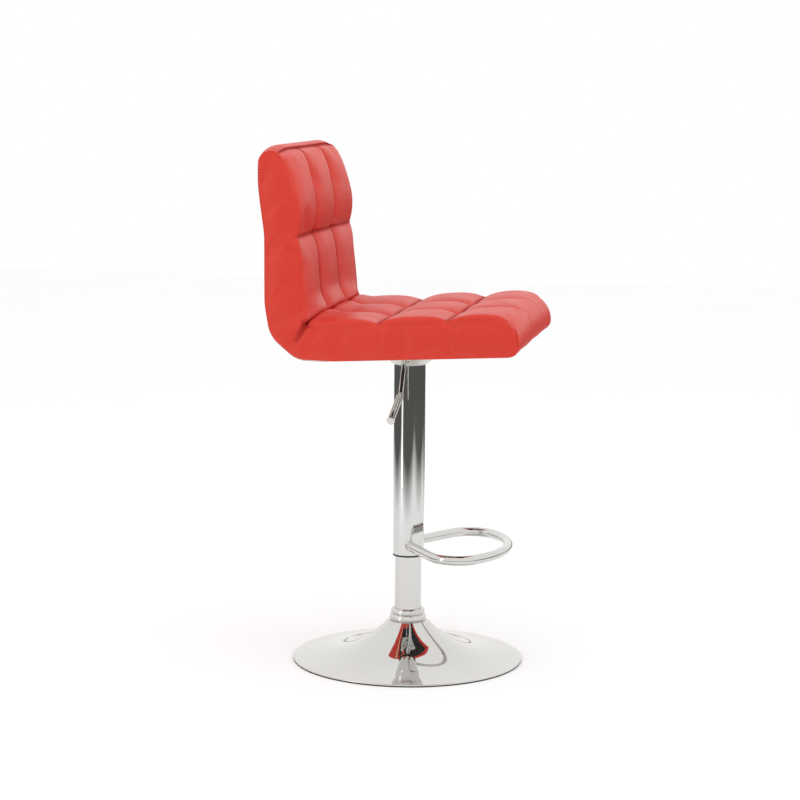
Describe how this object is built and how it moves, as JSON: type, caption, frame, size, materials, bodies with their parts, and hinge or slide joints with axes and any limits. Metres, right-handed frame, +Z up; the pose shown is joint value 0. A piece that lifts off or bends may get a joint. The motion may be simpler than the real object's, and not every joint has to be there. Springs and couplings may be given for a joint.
{
  "type": "adjustable swivel stool",
  "caption": "Bar stool with a quilted L-shaped seat and low back on a gas lift, with a looped footrest, a height lever and a round trumpet base.",
  "frame": {"origin": "on the floor, on the axis of the column", "axes": "+Z up along the column, a sitter faces -Y, +X to the sitter's left"},
  "size_m": [0.41, 0.4248, 0.8625],
  "materials": {
    "chrome": "polished chrome plate",
    "zinc_steel": "zinc plated pressing",
    "ground_steel": "ground and oiled",
    "black_paint": "semi-gloss black paint",
    "black_plastic": "moulded, matt",
    "grey_plastic": "moulded, light grey",
    "rubber": "moulded rubber",
    "plywood": "bent beech plywood, unfinished",
    "red_leather": "fine-grained coated upholstery hide, semi-gloss",
    "padded_leather": "coated upholstery cloth with a fine leather grain, quilted over polyurethane foam",
    "foam": "polyurethane foam sheet",
    "black_cloth": "spunbonded lining cloth"
  },
  "bodies": {
    "base": {"base_shell": "chrome", "floor_ring": "rubber", "ballast_plate": "black_paint", "hub_socket": "zinc_steel", "collar_ring": "chrome", "lift_tube": "chrome", "tube_end_plate": "zinc_steel", "lift_guide": "black_plastic", "lower_race": "ground_steel"},
    "cage": {"bearing_balls": "ground_steel", "bearing_cage": "black_plastic"},
    "rod": {"upper_race": "ground_steel", "rubber_bumper": "rubber", "piston_rod": "ground_steel", "rod_clip": "ground_steel", "rod_washer": "zinc_steel", "piston": "ground_steel", "piston_seal": "rubber"},
    "seat": {"pressure_cylinder": "black_paint", "cylinder_gland": "black_paint", "valve_body": "black_paint", "column_sleeve": "chrome", "sleeve_bush": "black_plastic", "sleeve_cap": "grey_plastic", "footrest": "chrome", "mounting_plate": "zinc_steel", "plate_hub": "zinc_steel", "plate_bolts": "zinc_steel", "lock_washers": "zinc_steel", "t_nuts": "zinc_steel", "lever_bracket": "zinc_steel", "lever_pin": "zinc_steel", "seat_shell": "plywood", "seat_cushion": "padded_leather", "back_cushion": "padded_leather", "rear_pad": "foam", "outer_cover": "red_leather", "dust_cover": "black_cloth", "cover_staples": "zinc_steel"},
    "lever": {"lever_rod": "chrome", "lever_grip": "chrome", "lever_tip_cap": "chrome", "lever_boss": "zinc_steel"},
    "valve_pin": {"release_pin": "ground_steel"}
  },
  "joints": [
    {"name": "swivel", "type": "hinge", "parent": "base", "child": "rod", "pos_m": [0, 0, 0.0144], "axis": [0, 0, 1], "continuous": true},
    {"name": "ball_roll", "type": "hinge", "parent": "base", "child": "cage", "pos_m": [0, 0, 0.0144], "axis": [0, 0, 1], "continuous": true},
    {"name": "height", "type": "slide", "parent": "rod", "child": "seat", "axis": [0, 0, 1], "range_m": [0, 0.21]},
    {"name": "lever", "type": "hinge", "parent": "seat", "child": "lever", "pos_m": [-0.03, 0, 0.5135], "axis": [0, 1, 0], "range_deg": [0, 5], "stiffness_Nm_per_rad": 0.6, "springref_deg": -5.73},
    {"name": "valve", "type": "slide", "parent": "seat", "child": "valve_pin", "axis": [0, 0, -1], "range_m": [0, 0.00275]}
  ],
  "couplings": [
    {"joint": "ball_roll", "follows": "swivel", "ratio": 0.5},
    {"joint": "valve", "follows": "lever", "m_per_rad": 0.03}
  ]
}
